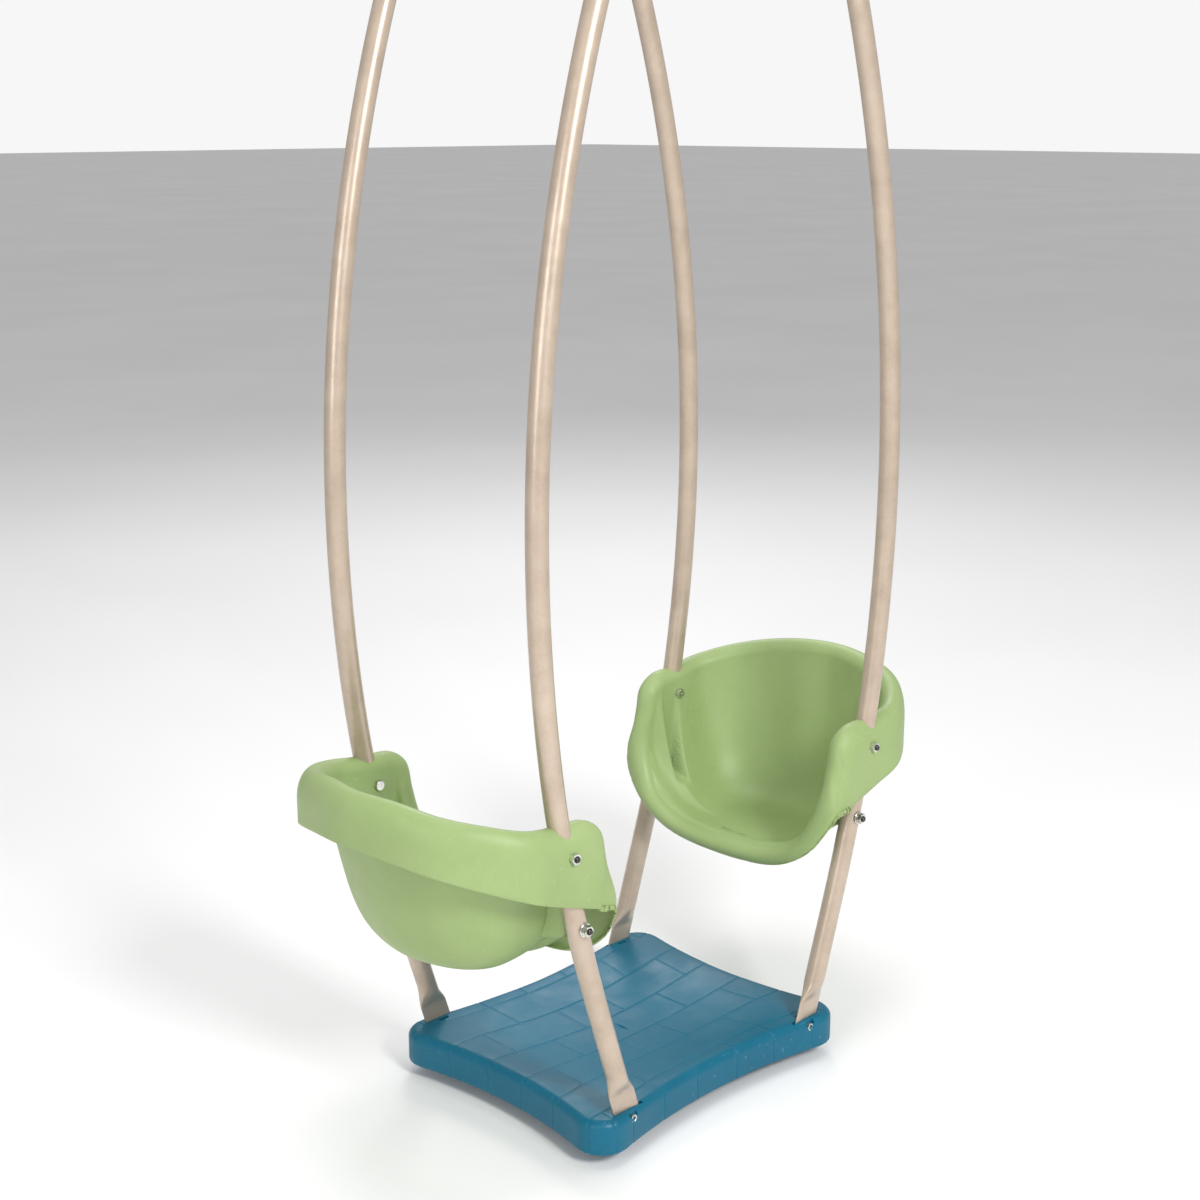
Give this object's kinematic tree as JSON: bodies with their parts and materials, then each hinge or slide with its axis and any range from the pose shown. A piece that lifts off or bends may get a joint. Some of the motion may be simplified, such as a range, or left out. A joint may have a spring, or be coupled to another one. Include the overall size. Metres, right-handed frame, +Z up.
{
  "type": "glider swing",
  "caption": "Face-to-face glider swing: two moulded bucket seats and a foot plate bolted between bowed steel tubes, hung from eye bolts in a beam.",
  "frame": {"origin": "on the underside of the beam, half way between the two eye bolts, where the lower washers bear", "axes": "+X from seat a to seat b, the way it swings; +Y along the beam from left to right; +Z up"},
  "size_m": [0.9678, 0.4276, 2.0544],
  "materials": {
    "tube": "warm beige powder coat, satin",
    "seat": "light green blow-moulded plastic, fine grained",
    "foot_plate": "teal blow-moulded plastic, satin",
    "zinc": "bright zinc plate",
    "nylon": "black nylon, matte"
  },
  "bodies": {
    "hangers": {"eye_bolt_left": "zinc", "eye_bolt_right": "zinc", "lower_beam_nut_left": "zinc", "lower_beam_nut_right": "zinc", "lower_beam_washer_left": "zinc", "lower_beam_washer_right": "zinc", "pivot_bush_left_inner": "nylon", "pivot_bush_left_outer": "nylon", "pivot_bush_right_inner": "nylon", "pivot_bush_right_outer": "nylon", "upper_beam_nut_left": "zinc", "upper_beam_nut_right": "zinc", "upper_beam_washer_left": "zinc", "upper_beam_washer_right": "zinc"},
    "swing": {"apex_bolt_left": "zinc", "apex_bolt_right": "zinc", "apex_nut_left": "zinc", "apex_nut_right": "zinc", "foot_plate": "foot_plate", "lower_bolt_a_left": "zinc", "lower_bolt_a_right": "zinc", "lower_bolt_b_left": "zinc", "lower_bolt_b_right": "zinc", "lower_nut_a_left": "zinc", "lower_nut_a_right": "zinc", "lower_nut_b_left": "zinc", "lower_nut_b_right": "zinc", "lower_washer_a_left": "zinc", "lower_washer_a_right": "zinc", "lower_washer_b_left": "zinc", "lower_washer_b_right": "zinc", "pivot_sleeve_left": "zinc", "pivot_sleeve_right": "zinc", "plate_bolt_a_left": "zinc", "plate_bolt_a_right": "zinc", "plate_bolt_b_left": "zinc", "plate_bolt_b_right": "zinc", "plate_nut_a_left": "zinc", "plate_nut_a_right": "zinc", "plate_nut_b_left": "zinc", "plate_nut_b_right": "zinc", "seat_a": "seat", "seat_b": "seat", "tube_a_left": "tube", "tube_a_right": "tube", "tube_b_left": "tube", "tube_b_right": "tube", "upper_bolt_a_left": "zinc", "upper_bolt_a_right": "zinc", "upper_bolt_b_left": "zinc", "upper_bolt_b_right": "zinc", "upper_nut_a_left": "zinc", "upper_nut_a_right": "zinc", "upper_nut_b_left": "zinc", "upper_nut_b_right": "zinc"}
  },
  "joints": [
    {"name": "swing", "type": "hinge", "parent": "hangers", "child": "swing", "pos_m": [0, 0, -0.045], "axis": [0, 1, 0], "range_deg": [-35, 35]}
  ]
}
